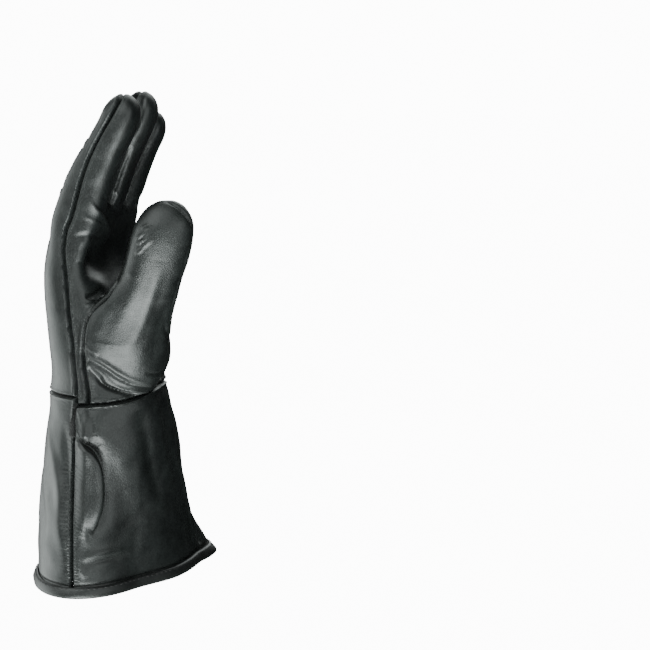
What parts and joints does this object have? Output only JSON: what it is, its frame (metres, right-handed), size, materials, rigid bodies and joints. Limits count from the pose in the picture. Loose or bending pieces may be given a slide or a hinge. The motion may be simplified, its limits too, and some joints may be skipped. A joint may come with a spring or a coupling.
{
  "type": "gauntlet glove",
  "caption": "Black leather gauntlet glove for the left hand, kept in its worn shape, with a set-in thumb, strips between the fingers and a flared cuff with a bound hem.",
  "frame": {"origin": "middle of the cuff's open hem, in the plane of its lowest edge, where the forearm goes in", "axes": "+Z from the hem to the fingertips, +X to the palm side, +Y to the little finger's side"},
  "size_m": [0.1202, 0.1463, 0.2951],
  "materials": {
    "glove_leather": "soft satin, smooth grain",
    "hem_leather": "soft satin, smooth grain"
  },
  "bodies": {
    "root": {"hand_back": "glove_leather", "hand_palm": "glove_leather", "thumb": "glove_leather", "fourchette_index_middle": "glove_leather", "fourchette_middle_ring": "glove_leather", "fourchette_ring_little": "glove_leather", "cuff_back": "glove_leather", "cuff_palm": "glove_leather", "hem_back": "hem_leather", "hem_palm": "hem_leather"}
  },
  "joints": []
}
